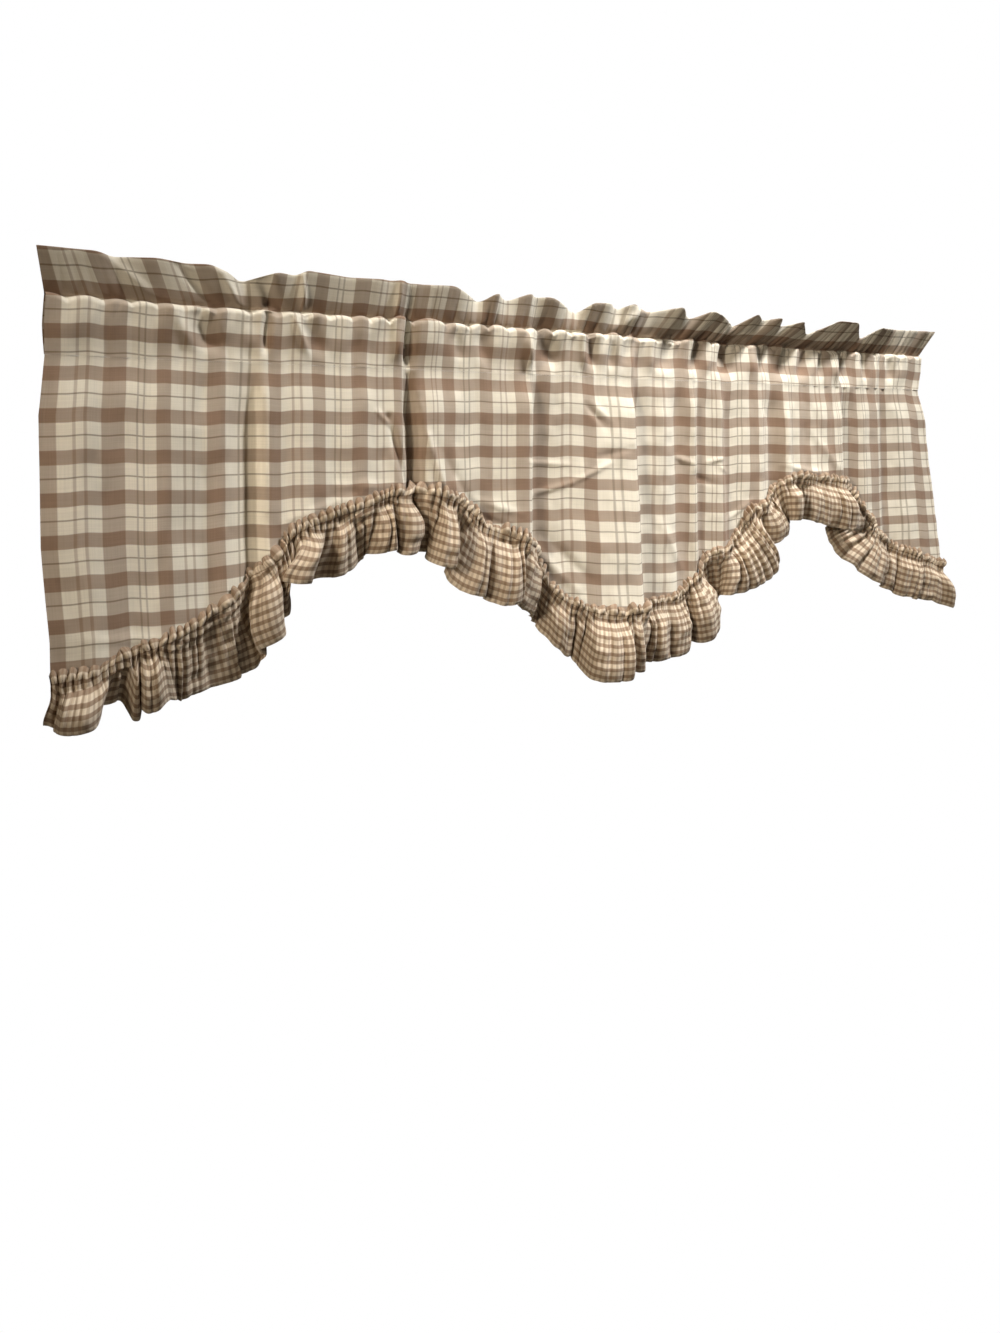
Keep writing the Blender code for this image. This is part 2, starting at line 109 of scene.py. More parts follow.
# %% Puffs of the ruffle: place, how far its edge stands forward, its length and its swing to the right (mm)
RUFFLE_TURNS = (
    (0.000, -2, 34, -8), (0.008, -7, 42, -6), (0.012, 11, 41, -5), (0.019, 17, 41, -3), (0.027, 17, 40, -6),
    (0.032, 4, 38, -9), (0.038, -16, 38, -7), (0.050, -18, 40, 0), (0.053, -8, 42, 0), (0.055, 5, 66, -3),
    (0.060, -7, 46, -1), (0.064, 6, 52, 0), (0.069, 8, 54, -2), (0.074, 3, 48, -1), (0.080, -12, 55, 0),
    (0.090, -16, 61, 0), (0.100, -11, 65, 0), (0.110, -17, 66, 0), (0.120, -11, 68, 2), (0.130, -17, 72, 4),
    (0.138, -15, 75, 20), (0.143, 8, 68, 0), (0.148, 15, 68, 0), (0.155, 17, 69, -3), (0.159, 11, 67, -8),
    (0.164, -14, 62, -12), (0.168, 3, 64, -20), (0.172, 5, 66, -19), (0.176, -3, 65, -17),
    (0.180, -8, 45, -17), (0.184, 6, 44, -26), (0.192, 13, 52, -19), (0.198, 6, 55, -20),
    (0.203, -14, 56, -15), (0.211, -12, 58, -8), (0.218, 9, 59, -7), (0.224, 1, 57, -4),
    (0.231, -18, 54, 0), (0.240, -17, 50, 3), (0.246, -13, 50, -1), (0.251, 2, 51, -2), (0.256, 8, 52, 0),
    (0.263, 9, 52, 0), (0.268, -17, 56, 4), (0.275, 5, 58, -1), (0.282, 8, 59, 0), (0.289, -15, 62, 0),
    (0.300, -18, 63, 2), (0.308, -14, 65, -2), (0.313, 13, 68, 0), (0.321, 16, 68, 2), (0.326, -17, 60, 8),
    (0.334, -18, 62, 2), (0.341, -14, 70, -1), (0.348, 12, 74, -2), (0.358, 14, 72, 2), (0.363, -6, 70, 3),
    (0.368, 7, 71, 1), (0.382, 15, 70, 0), (0.391, 12, 64, 8), (0.396, -18, 60, 6), (0.403, 1, 66, 6),
    (0.410, 6, 66, 12), (0.418, -4, 56, 12), (0.426, -19, 50, 10), (0.434, -7, 50, 10), (0.442, 3, 55, 7),
    (0.450, -2, 60, 2), (0.456, -16, 57, 1), (0.466, -12, 66, 0), (0.473, 12, 71, -2), (0.480, 16, 71, -4),
    (0.490, 15, 71, -1), (0.499, 13, 69, 0), (0.506, -9, 61, 1), (0.512, 7, 68, 3), (0.519, -13, 60, 0),
    (0.527, -17, 60, 0), (0.534, 2, 66, -6), (0.545, 9, 67, -5), (0.556, 13, 66, -3), (0.568, -4, 68, 2),
    (0.578, 7, 70, 1), (0.588, 3, 69, 3), (0.593, -13, 66, 5), (0.600, 5, 74, -1), (0.607, 10, 76, 4),
    (0.614, 6, 66, 6), (0.622, -17, 60, 4), (0.630, -20, 60, 2), (0.640, -18, 62, 2), (0.646, -13, 58, 2),
    (0.649, 8, 58, -10), (0.656, 12, 60, -5), (0.665, 13, 65, 6), (0.672, 15, 68, 12), (0.681, 14, 71, 22),
    (0.690, 8, 66, 24), (0.698, -16, 50, 8), (0.704, -15, 50, 6), (0.709, 4, 54, 6), (0.718, 13, 52, 12),
    (0.728, 8, 52, 16), (0.734, -9, 47, 6), (0.742, 9, 51, 0), (0.750, 4, 54, 0), (0.757, -12, 54, 2),
    (0.768, -13, 53, 2), (0.776, -11, 54, 2), (0.782, 3, 54, 2), (0.790, 6, 57, 2), (0.802, 2, 60, 3),
    (0.814, 8, 62, 5), (0.826, 10, 65, 9), (0.838, 14, 66, 20), (0.848, 18, 60, 28), (0.853, 4, 50, -6),
    (0.860, -12, 38, -42), (0.868, -22, 41, -42), (0.880, -18, 43, -29), (0.887, -8, 48, -15),
    (0.896, 1, 55, -6), (0.904, 5, 58, 0), (0.917, 0, 60, 0), (0.926, 6, 60, 0), (0.934, -6, 61, 0),
    (0.945, 3, 62, 0), (0.960, 6, 61, 0), (0.970, -6, 56, 0), (0.976, 4, 55, 0), (0.985, 0, 55, 3),
    (1.000, 15, 58, 11),
)
print("puffs in the ruffle:", len(RUFFLE_TURNS))

# %% How the ends are drawn in or flare: drop below the top line, shift of the left and the right end (mm)
END_SHIFTS = (
    (0, -6, -10), (39, 3, -24), (64, 2, -23), (90, 3, -29), (140, -2, -18), (250, 0, -6), (330, 7, 0),
    (420, 9, 0),
)
print("the right end is drawn in by", -min(row[2] for row in END_SHIFTS), "mm")


# %% [markdown]
# ## Reading the tables
#
# Cloth never turns a sharp corner, so a table is read as straight runs between its rows and then averaged
# over a short width. A few more helpers give smooth steps and repeatable unevenness: real gathers are never
# regular.

# %% Helpers that read a table
MM = 1 / 1000
READINGS = 9  # in an average
LONG_RUN, PATCH = 997, 211  # random heights in a run, and along a side of a patch
MIDDLE = np.array([0.5])


def column(rows, index):
    """One column of a table, as an array."""
    return np.array([row[index] for row in rows], float)


def turned(at, rows, value, width, place=0):
    """A column of millimetres at these places, in metres: straight runs averaged over the width."""
    shifts = np.linspace(-0.5, 0.5, READINGS) * width
    runs = [np.interp(at + shift, column(rows, place), column(rows, value)) for shift in shifts]
    return sum(runs) / len(runs) * MM


def ease(share):
    """0 below 0, 1 above 1, and the smooth step 3s^2 - 2s^3 between."""
    share = np.clip(share, 0, 1)
    return share * share * (3 - 2 * share)


def stepped(at, first, steps):
    """A value that starts as the first and changes smoothly: steps are (place, run, change)."""
    return first + sum(change * ease((at - place) / run) for place, run, change in steps)


def wander(x, pitch, seed):
    """Smooth unevenness from -1 to 1: a random height every pitch, joined by smooth steps."""
    heights = np.random.default_rng(seed).uniform(-1, 1, LONG_RUN)
    cell = np.floor(x / pitch).astype(int)
    share = ease(x / pitch - cell)
    return heights[cell % LONG_RUN] * (1 - share) + heights[(cell + 1) % LONG_RUN] * share


def crumple(x, z, hand):
    """Smooth unevenness over a surface, in metres: random heights on a grid.

    hand is (height of the crumple, width and height of a cell, seed).
    """
    tall, wide, high, seed = hand
    heights = np.random.default_rng(seed).uniform(-1, 1, (PATCH, PATCH))
    column_cell, row_cell = np.floor(x / wide).astype(int), np.floor(z / high).astype(int)
    across, up = ease(x / wide - column_cell), ease(z / high - row_cell)
    i, j = column_cell % PATCH, row_cell % PATCH
    next_i, next_j = (i + 1) % PATCH, (j + 1) % PATCH
    lower = heights[i, j] * (1 - across) + heights[next_i, j] * across
    upper = heights[i, next_j] * (1 - across) + heights[next_i, next_j] * across
    return tall * (lower * (1 - up) + upper * up)


print("a rounded fold at the middle:", turned(MIDDLE, PANEL_TURNS, 2, 0.01).round(4), "m")


# %% [markdown]
# ## How the plaid cloth hangs
#
# The folds run down the panel from the pocket to the hem. They are held flat by the stitching of the pocket
# and open below it. Two kinds of puckers come on top: short gathers that fan out from each stitched line, and
# the soft creases that a folded and packed cloth keeps, each listed as a ridge or a trough.

# %% Large shape of the plaid cloth
FRILL_ROUND, FOLD_ROUND, HEM_ROUND, SCALLOP_ROUND = 0.007, 0.006, 0.008, 0.020  # averaging widths
CORNER_SAG, CORNER_ENDS, CORNER_RUN = 0.008, 0.046, 0.020  # extra drop (m), where it ends and fades
END_POWER = 10  # the higher, the nearer to an end its shift dies out


def fold_under_pocket(at):
    """How far the panel's folds stand forward just under the rod pocket."""
    return turned(at, PANEL_TURNS, 2, FOLD_ROUND)


def scallop_drop(at):
    """Drop of the ruffle's stitching below the top line, with the left corner sagging a little more."""
    return turned(at, SCALLOP, 1, SCALLOP_ROUND) + CORNER_SAG * ease((CORNER_ENDS - at) / CORNER_RUN)


def flat_x(at):
    """X of a place along the valance while its ends hang straight."""
    return (at - 0.5) * HUNG_WIDTH


def hung_x(at, height):
    """X of a place along the valance, with its ends drawn in or flared at this height."""
    drops = column(END_SHIFTS, 0) * MM
    left = np.interp(-height, drops, column(END_SHIFTS, 1)) * MM
    right = np.interp(-height, drops, column(END_SHIFTS, 2)) * MM
    return flat_x(at) + left * (1 - at) ** END_POWER + right * at**END_POWER


print("drop at the middle:", scallop_drop(MIDDLE).round(3), "m")

# %% Creases of the panel: from (place, drop) to (place, drop), height to the front and half width (mm)
CREASES = (
    (0.263, 138, 0.281, 214, -6, 4), (0.252, 132, 0.264, 146, 2.6, 3), (0.289, 112, 0.298, 172, 3.5, 5),
    (0.297, 158, 0.315, 220, 4, 5), (0.284, 96, 0.289, 205, -5, 3), (0.310, 170, 0.345, 235, -1.8, 5),
    (0.468, 122, 0.487, 145, -2.5, 4), (0.474, 118, 0.492, 138, 1.8, 4), (0.412, 222, 0.452, 210, 2.2, 3),
    (0.452, 210, 0.492, 188, 2.2, 3), (0.400, 186, 0.450, 189, 1.4, 3), (0.480, 181, 0.515, 172, -1.5, 4),
    (0.585, 183, 0.602, 190, 2, 3), (0.625, 190, 0.648, 184, 1.6, 3), (0.640, 196, 0.655, 202, 1.4, 3),
    (0.605, 205, 0.632, 216, -1.5, 4), (0.170, 238, 0.235, 215, 1.8, 5), (0.215, 205, 0.262, 208, 1.5, 5),
    (0.350, 225, 0.392, 242, 2, 5), (0.345, 240, 0.385, 258, -1.6, 5), (0.405, 270, 0.455, 330, 2.4, 6),
    (0.425, 268, 0.470, 322, -2, 6), (0.560, 262, 0.590, 320, 2.2, 6), (0.030, 330, 0.085, 336, 1.8, 5),
    (0.655, 265, 0.690, 240, 1.6, 4), (0.735, 195, 0.800, 208, 1.8, 4), (0.780, 150, 0.835, 215, 1.6, 6),
    (0.120, 225, 0.135, 250, -1.5, 5),
)
CREASE_TIP = 0.08  # a crease stays at its lowest over this share of its length, at each end


def creases(x, height, rows):
    """Sum of the listed creases: a bell across each line, fading towards both of its ends."""
    total = np.zeros_like(x)
    for place_a, drop_a, place_b, drop_b, tall, half in rows:
        start = np.array([flat_x(place_a), -drop_a * MM])
        run = np.array([flat_x(place_b), -drop_b * MM]) - start
        along = ((x - start[0]) * run[0] + (height - start[1]) * run[1]) / (run @ run)
        off_x = x - start[0] - np.clip(along, 0, 1) * run[0]
        off_z = height - start[1] - np.clip(along, 0, 1) * run[1]
        bell = np.exp(-(off_x**2 + off_z**2) / (half * MM) ** 2)
        total += tall * MM * bell * np.sin(np.pi * np.clip(along, CREASE_TIP, 1 - CREASE_TIP)) ** 0.5
    return total


print("creases placed by hand:", len(CREASES))

# %% Gathers that fan out from a stitched line: height, pitch and reach from the seam (m), and a seed
POCKET_FAN = ((0.0007, 0.010, 0.010, 11), (0.0022, 0.021, 0.026, 14))
LONG_FAN, LONG_STARTS = (0.0022, 0.047, 0.110, 17), 0.030  # these set in over this way
RUFFLE_FAN_SHORT = (0.0014, 0.009, 0.010, 21)
RUFFLE_FAN_LONG, RUFFLE_LONG_STARTS = (0.0028, 0.026, 0.034, 24), 0.015
STRAY, STRAY_PITCHES = 0.55, 2.7  # how far a gather strays, and over how many pitches
MEAN_TALL, TALL_RANGE, TALL_PITCHES = 0.62, 0.38, 1.9  # its height, and the pitches this changes over


def gathers(x, pitch, seed):
    """Uneven gathers, from 0 in their sharp valleys to 1 on round ridges: |sin| of a wandering pitch."""
    turn = x / pitch + STRAY * wander(x, STRAY_PITCHES * pitch, seed)
    tall = MEAN_TALL + TALL_RANGE * wander(x, TALL_PITCHES * pitch, seed + 1)
    return np.abs(np.sin(np.pi * turn)) ** 0.8 * tall


def fan(x, away, size):
    """Gathers that die out away from their seam, as exp(-away / reach)."""
    tall, pitch, reach, seed = size
    return tall * gathers(x, pitch, seed) * np.exp(-away / reach)


def seam_fan(x, away):
    """Gathers on both sides of the lower stitching: short ones close to it, which merge into longer ones."""
    long = fan(x, away, LONG_FAN) * ease(away / LONG_STARTS)
    return sum(fan(x, away, size) for size in POCKET_FAN) + long


# %% Shape of the panel
STITCHED = 0.30  # part of a fold's depth that the stitching leaves
FOLDS_OPEN = 0.045  # the folds open to their full depth over this way
SETTLED = 0.9  # part of a crease's height that is left once the cloth hangs
SEAM_HELD = 0.004  # the stitching holds the cloth flat this far from its line
SLACK_RUN, RUMPLED_RUN = 0.010, 0.030  # creases and the crumpled hand set in over these
PANEL_HAND = ((0.0012, 0.026, 0.040, 31), (0.0006, 0.011, 0.015, 32))


def panel_surface(at, down):
    """The panel: down is 0 under the pocket and 1 at its lower edge.

    Its folds blend from those under the pocket to those at the hem, and open over a short way. Gathers that
    fade from both stitched lines, hand-placed creases and a crumpled hand are added to them.
    """
    length = scallop_drop(at) + PANEL_TAIL - PANEL_TOP
    below = down * length
    opened = STITCHED + (1 - STITCHED) * ease(below / FOLDS_OPEN)
    at_hem = turned(at, PANEL_TURNS, 3, HEM_ROUND, place=1)
    forward = opened * ((1 - down) * fold_under_pocket(at) + down * at_hem)
    height = -PANEL_TOP - below
    x = hung_x(at, height)
    above_seam = (1 - down) * length
    forward += seam_fan(x, below)
    forward += fan(x, above_seam, RUFFLE_FAN_SHORT) * ease((above_seam - SEAM_HELD) / SEAM_HELD)
    forward += fan(x, above_seam, RUFFLE_FAN_LONG) * ease(above_seam / RUFFLE_LONG_STARTS)
    slack = ease(below / SEAM_HELD) * ease((above_seam - SEAM_HELD) / SLACK_RUN)
    forward += SETTLED * slack * creases(x, height, CREASES)
    rumpled = sum(crumple(x, height, hand) for hand in PANEL_HAND)
    forward += slack * ease(below / RUMPLED_RUN) * rumpled
    return np.stack([x, -forward, height], -1)


print("a point of the panel:", panel_surface(MIDDLE, MIDDLE).round(3))

# %% [markdown]
# ## The heading
#
# The heading is one folded sheet: up the front, over the top and down the back. Between the two lines of
# stitching its layers part for the rod. With no rod in it the pocket is slack: its top rolls over the
# stitching in small bumps that catch the light, and its front sags into tucks. The frill nods forward and
# leans to the right in the right half, where the upper stitching also lies further back.

# %% Lean of the frill's gathers: place, how far the frill's top leans to the right there (mm)
FRILL_LEAN = (
    (0.00, -9), (0.12, -11), (0.145, -2), (0.17, 3), (0.20, 0), (0.45, 2), (0.52, 6), (0.60, 15),
    (0.76, 18), (0.84, 8), (0.90, 3), (1.00, 6),
)
print("rows of the lean:", len(FRILL_LEAN))

# %% Tucks of the heading: from (place, drop) to (place, drop), height to the front and half width (mm)
HEADING_TUCKS = (
    (0.104, 50, 0.126, 88, -6.5, 10), (0.086, 44, 0.106, 88, 3.5, 6), (0.144, 50, 0.148, 86, 4.5, 8),
    (0.159, 34, 0.157, 88, -9, 4), (0.178, 40, 0.194, 86, 4, 4), (0.189, 44, 0.205, 84, -5.5, 10),
    (0.236, 50, 0.230, 84, -2.5, 10), (0.281, 40, 0.282, 90, -11, 3), (0.269, 40, 0.270, 88, 3.5, 5),
    (0.322, 44, 0.334, 80, -3.5, 8), (0.352, 44, 0.358, 84, -4.5, 7), (0.396, 46, 0.404, 82, 4, 6),
    (0.418, 46, 0.436, 86, -6, 12), (0.462, 42, 0.466, 86, 4, 5), (0.474, 42, 0.478, 88, -7, 7),
    (0.498, 42, 0.498, 88, -5.5, 6), (0.524, 40, 0.514, 76, -6, 9), (0.550, 42, 0.546, 88, 4, 6),
    (0.575, 40, 0.562, 88, -9, 13), (0.614, 40, 0.602, 86, -7.5, 10), (0.634, 42, 0.624, 84, 3.5, 6),
    (0.660, 40, 0.645, 90, -9.5, 15), (0.690, 46, 0.690, 84, 3.5, 9), (0.714, 42, 0.706, 80, -5, 9),
    (0.748, 40, 0.736, 88, -9, 13), (0.782, 40, 0.766, 88, -8.5, 11), (0.806, 44, 0.798, 80, -4, 8),
    (0.824, 60, 0.826, 88, 4, 6), (0.848, 40, 0.840, 90, -9, 11), (0.880, 42, 0.884, 84, -5, 8),
    (0.930, 42, 0.936, 86, -5, 8), (0.269, 6, 0.269, 36, 5, 3), (0.182, 6, 0.188, 38, 5, 3),
    (0.152, 10, 0.166, 38, -7, 6), (0.528, 8, 0.505, 30, 4, 7), (0.050, 4, 0.075, 36, 2, 5),
    (0.098, 6, 0.118, 38, -2.5, 5), (0.128, 10, 0.138, 38, 3, 4),
)
print("tucks placed by hand:", len(HEADING_TUCKS))

# %% Shape of the heading: the pocket
UPPER_SET_BACK = 0.008  # the upper stitching lies further back in the right half
SET_BACK_STEPS = ((0.48, 0.20, 1.0), (0.88, 0.10, -0.7))
BUMP_PITCH, BUMP_RUN = 0.026, 0.045
BUMP_MEAN, BUMP_LIFT, BUMP_DEPTH = 0.32, 0.0100, 0.0030  # bumps lift and push the rolled top
ROLL_FROM, ROLL_AT, ROLL_RUN = 0.90, 0.95, 0.10  # shares of the pocket's height
FULL_AT = 1.1  # here the front would be at its fullest
POCKET_DEPTH = 0.0034
TUCK_SHARE, TUCK_SLANT = 0.8, 0.35
LONG_TUCKS, SHORT_TUCKS = (0.0042, 0.0165, 0.022, 44), (0.0018, 0.0085, 0.009, 47)
FOLD_IN_POCKET = 0.25  # part of the panel's folds in the middle of the pocket
POCKET_HAND, HAND_SLANT = (0.0016, 0.024, 0.045, 51), 0.5
LAYER_GAP, BACK_DEPTH = 0.0018, 0.0045


def pocket_layers(at, pocket, height, bumps, line):
    """How far the front and the back layer stand forward. Pocket is 0 at its lower seam, 1 at its upper.

    The front is the seam's line plus a swell that grows upwards and rolls back at the top, plus gathers
    that fan out from both seams and a crumpled hand. The back sags by a half wave.
    """
    x = flat_x(at)
    from_top, from_bottom = POCKET_HEIGHT * (1 - pocket), POCKET_HEIGHT * pocket
    arc = np.clip((pocket - ROLL_FROM) / ROLL_RUN, 0, 1)
    lift = ease(pocket / FULL_AT) / ease(ROLL_FROM / FULL_AT) * np.sqrt(1 - arc**2)
    swell = np.sin(np.pi * pocket)
    tucks = fan(x + TUCK_SLANT * from_top, from_top, LONG_TUCKS) + fan(x, from_top, SHORT_TUCKS)
    front = line + (POCKET_DEPTH + BUMP_DEPTH * bumps + TUCK_SHARE * tucks) * lift
    front += seam_fan(x, from_bottom) * (1 - arc)
    front += FOLD_IN_POCKET * swell * fold_under_pocket(at)
    front += swell * crumple(x + HAND_SLANT * from_top, height, POCKET_HAND)
    return front, line - LAYER_GAP - BACK_DEPTH * swell**0.8


# %% Shape of the heading: the frill, and the whole sheet
TOP_CLEAR = 0.0015  # from the top line down to the fold
FRILL_NOD = 0.010  # the frill's top nods forward, more in the right half and less at its end
NOD_STEPS = ((0.45, 0.25, 0.8), (0.84, 0.12, -1.2))
LOW_RUCHES, LOW_MEAN, LOW_RUN = (0.0052, 0.0135, 0.022, 54), 0.4, 0.10
HIGH_RUCHES, HIGH_MEAN = (0.0040, 0.032, 57), 0.5
LEAST_RUCHED, RUCHED_STEPS = 0.2, ((0.20, 0.20, 0.8),)  # smoother at the left end
HALF_FOLD, FOLD_RUN = 0.0009, 0.06  # half the folded frill's thickness, and the levels it rounds over
LEAN_ROUND, LEAN_RUN = 0.02, 0.04  # the lean sets in at each end
POCKET_RUNS, FRILL_RUNS = (0.45, 0.06), (0.15, 0.05)  # tucks set in over these shares


def frill_middle(at, frill, line):
    """How far the middle of the folded frill stands forward: frill is 0 at the upper stitching, 1 on top."""
    x = flat_x(at)
    tall, pitch, reach, seed = LOW_RUCHES
    low = tall * (gathers(x, pitch, seed) - LOW_MEAN) * np.exp(-FRILL_HEIGHT * frill / reach)
    tall, pitch, seed = HIGH_RUCHES
    high = tall * (gathers(x, pitch, seed) - HIGH_MEAN) * frill
    ruched = (low * ease(frill / LOW_RUN) + high) * stepped(at, LEAST_RUCHED, RUCHED_STEPS)
    nod = FRILL_NOD * stepped(at, 1, NOD_STEPS) * frill**0.7
    edge = turned(at, FRILL_TURNS, 1, FRILL_ROUND)
    return line * (1 - frill) + edge * frill**1.2 + nod + ruched


def inside(share, runs):
    """1 within a band and 0 at its two edges, with a smooth step at each."""
    return ease(share / runs[0]) * ease((1 - share) / runs[1])


def heading_surface(at, level, side):
    """The heading: level 0 is the lower stitching, 1 the upper and 2 the top fold. Side is 1 in front."""
    pocket, frill = np.clip(level, 0, 1), np.clip(level - 1, 0, 1)
    x = flat_x(at)
    bumps = gathers(x, BUMP_PITCH, 41) * (MEAN_TALL + TALL_RANGE * wander(x, BUMP_RUN, 43))
    front, in_pocket = side > 0, frill <= 0
    rolled = np.exp(-(((pocket - ROLL_AT) / ROLL_RUN) ** 2)) * (pocket < 1)
    dip = turned(at, FRILL_TURNS, 2, FRILL_ROUND)
    height = -FRILL_HEIGHT - POCKET_HEIGHT * (1 - pocket) + frill * (FRILL_HEIGHT - TOP_CLEAR - dip)
    height += BUMP_LIFT * (bumps - BUMP_MEAN) * np.where(front & in_pocket, rolled, 0)
    set_back = UPPER_SET_BACK * stepped(at, 0, SET_BACK_STEPS) * ease(pocket)
    line = STITCHED * fold_under_pocket(at) - set_back

    wall, behind = pocket_layers(at, pocket, height, bumps, line)
    fold = HALF_FOLD * np.sqrt(np.clip((2 - level) / FOLD_RUN, 0, 1))
    folded = frill_middle(at, frill, line) + side * fold
    forward = np.where(in_pocket, np.where(front, wall, behind), folded)
    slack = inside(pocket, POCKET_RUNS) * front + inside(frill, FRILL_RUNS)
    forward += slack * creases(x, height, HEADING_TUCKS)
    from_end = np.clip(0.5 - np.abs(at - 0.5), 0, LEAN_RUN) / LEAN_RUN
    lean = turned(at, FRILL_LEAN, 1, LEAN_ROUND) * frill * from_end
    return np.stack([hung_x(at, height) + lean, -forward, height], -1)


print("a point of the pocket:", heading_surface(MIDDLE, MIDDLE, 1).round(3))

# %% [markdown]
# ## The gingham ruffle
#
# A strip nearly twice as long as the edge is gathered on its stitching, so it stands in tight pleats there
# and opens into large puffs at its hem. Above the stitching its raw top stands up as a curly ruched head.
# The pleats are three waves of growing length: the shortest dies out towards the hem and the longest grows.

# %% Places of the ruffle against the panel
SEAM_OFFSET = 0.0022  # from the panel's face to the ruffle's stitching
FACE_STEP, LOOK = 0.004, 0.0175  # the panel's direction and the scallop's slope are taken over these
SQUARE_SHARE = 0.38  # how much of the fall is square to the scalloped line


def on_panel(at, height):
    """X and Y of the panel's face near its lower edge, at this height, and the way across it to the front."""
    length = scallop_drop(at) + PANEL_TAIL - PANEL_TOP
    down = np.clip((-height - PANEL_TOP) / length, 0, 1)
    here = panel_surface(at, down)
    run = panel_surface(at + FACE_STEP, down) - panel_surface(at - FACE_STEP, down)
    square = np.stack([run[..., 1], -run[..., 0]], -1)
    return here[..., :2], square / np.hypot(square[..., 0], square[..., 1])[..., None]


def hang_direction(at):
    """The way the strip falls, in X and Z: partly straight down, and partly square to the scalloped line."""
    fall = (scallop_drop(at + LOOK) - scallop_drop(at - LOOK)) / (2 * LOOK * HUNG_WIDTH)
    square = np.stack([-fall, -np.ones_like(fall)], -1) / np.hypot(fall, 1)[..., None]
    hang = SQUARE_SHARE * square + (1 - SQUARE_SHARE) * np.array([0.0, -1.0])
    return hang / np.hypot(hang[..., 0], hang[..., 1])[..., None]


seam_places = np.linspace(0, 1, 4001)
seam_steps = np.hypot(np.diff(seam_places) * HUNG_WIDTH, np.diff(scallop_drop(seam_places)))
seam_along = np.concatenate([[0], np.cumsum(seam_steps)])
print("length of the scalloped seam:", round(float(seam_along[-1]), 3), "m")

# %% Shape of the ruffle
SHORT_PLEATS, MIDDLE_PLEATS, LONG_PLEATS = (0.0056, 0.0070, 61), (0.0090, 0.0118, 64), (0.0056, 0.031, 67)
MIDDLE_STARTS, MIDDLE_LOSS = 0.30, 0.45  # it grows over this share, and then loses this much
PUFF_ROUND, SKIRT_ROUND = 0.004, 0.0045
BELLY, BELLY_TURN = 0.0050, 0.016  # a puff swells half way down where its hem stands forward
HEM_BACK, HEM_CURL, CURL_FROM = 0.0045, 0.0012, 0.965
SPREAD, SPREAD_TURN, SPREAD_STEP = 0.0032, 1.3, 0.002  # a puff's hem is wider than its root
RUFFLE_HAND, HAND_RUN = (0.0013, 0.0075, 0.0095, 77), 0.15
UNEVEN_HEM = ((0.0014, 0.016, 69), (0.0010, 0.007, 70))  # height, pitch, seed


def waves(along, size):
    """Gathers of one size, from 0 up, in metres: size is (height, pitch, seed)."""
    tall, pitch, seed = size
    return tall * gathers(along, pitch, seed)


def pleats(along, share):
    """Short waves at the stitching (share 0) that merge into long ones at the hem (share 1), in metres."""
    short = waves(along, SHORT_PLEATS) * (1 - share) ** 0.75
    middle = waves(along, MIDDLE_PLEATS) * ease(share / MIDDLE_STARTS) * (1 - MIDDLE_LOSS * share)
    return short + middle + waves(along, LONG_PLEATS) * share


def puff(at):
    """How far the ruffle's hem stands forward of the panel."""
    return turned(at, RUFFLE_TURNS, 1, PUFF_ROUND)


def ruffle_surface(at, share):
    """The ruffle below its stitching: share is 0 on the stitching and 1 at the hem.

    It lies on the panel as far as the panel reaches, and below that it swings out to its puffs. A belly,
    the pleats and a crumpled hand are added. The hem is wider than the root of a puff, and curls in.
    """
    skirt = turned(at, RUFFLE_TURNS, 2, SKIRT_ROUND)
    length = share * skirt
    hang = hang_direction(at)
    backed = np.clip(length, 0, PANEL_TAIL)
    height = -scallop_drop(at) + hang[..., 1] * length
    face, across = on_panel(at + hang[..., 0] * backed / HUNG_WIDTH, height)
    loose = np.clip((length - PANEL_TAIL) / (skirt - PANEL_TAIL), 0, 1)
    along = np.interp(at, seam_places, seam_along)
    out = puff(at)
    belly = BELLY * np.sin(np.pi * loose**0.8) * np.clip(0.5 + out / BELLY_TURN, 0, 1)
    swing = np.where(out < 0, out * loose**0.55, out * ease(loose**0.64))
    forward = swing + belly + pleats(along, loose) - HEM_BACK * loose
    forward += crumple(along, length, RUFFLE_HAND) * ease(loose / HAND_RUN)
    forward -= HEM_CURL * ease((share - CURL_FROM) / (1 - CURL_FROM))
    rise = (puff(at + SPREAD_STEP) - puff(at - SPREAD_STEP)) / (2 * SPREAD_STEP * HUNG_WIDTH)
    spread = -SPREAD * np.tanh(SPREAD_TURN * rise) * loose
    swung = turned(at, RUFFLE_TURNS, 3, SKIRT_ROUND) * ease(loose)
    sideways = hang[..., 0] * (length - backed) + swung + spread
    offset = SEAM_OFFSET + forward
    x = face[..., 0] + across[..., 0] * offset + sideways
    y = face[..., 1] + across[..., 1] * offset
    height -= sum(tall * wander(along, pitch, seed) for tall, pitch, seed in UNEVEN_HEM) * loose
    return np.stack([x, y, height], -1)


print("a point of the ruffle:", ruffle_surface(MIDDLE, MIDDLE).round(3))

# %% Shape of the ruched head
HEAD_HEIGHT, HEAD_PITCH = 0.0125, 0.0080
LEAST_LOOP = 0.50  # share of the head's height that is left between two loops
LOOP_SIZE, LOOP_UNEVEN = 0.95, ((0.50, 1.3 * HEAD_PITCH, 71), (0.30, 0.026, 72))
SWELL, SWELL_BACK = 0.0068, 0.0010
SWELL_FROM, SWELL_TURN = 0.12, 0.80  # the part of a half turn that a loop takes
LOOP_SWING, SWING_PITCH, LOOP_LEAN = 0.0034, 0.007, 0.0004


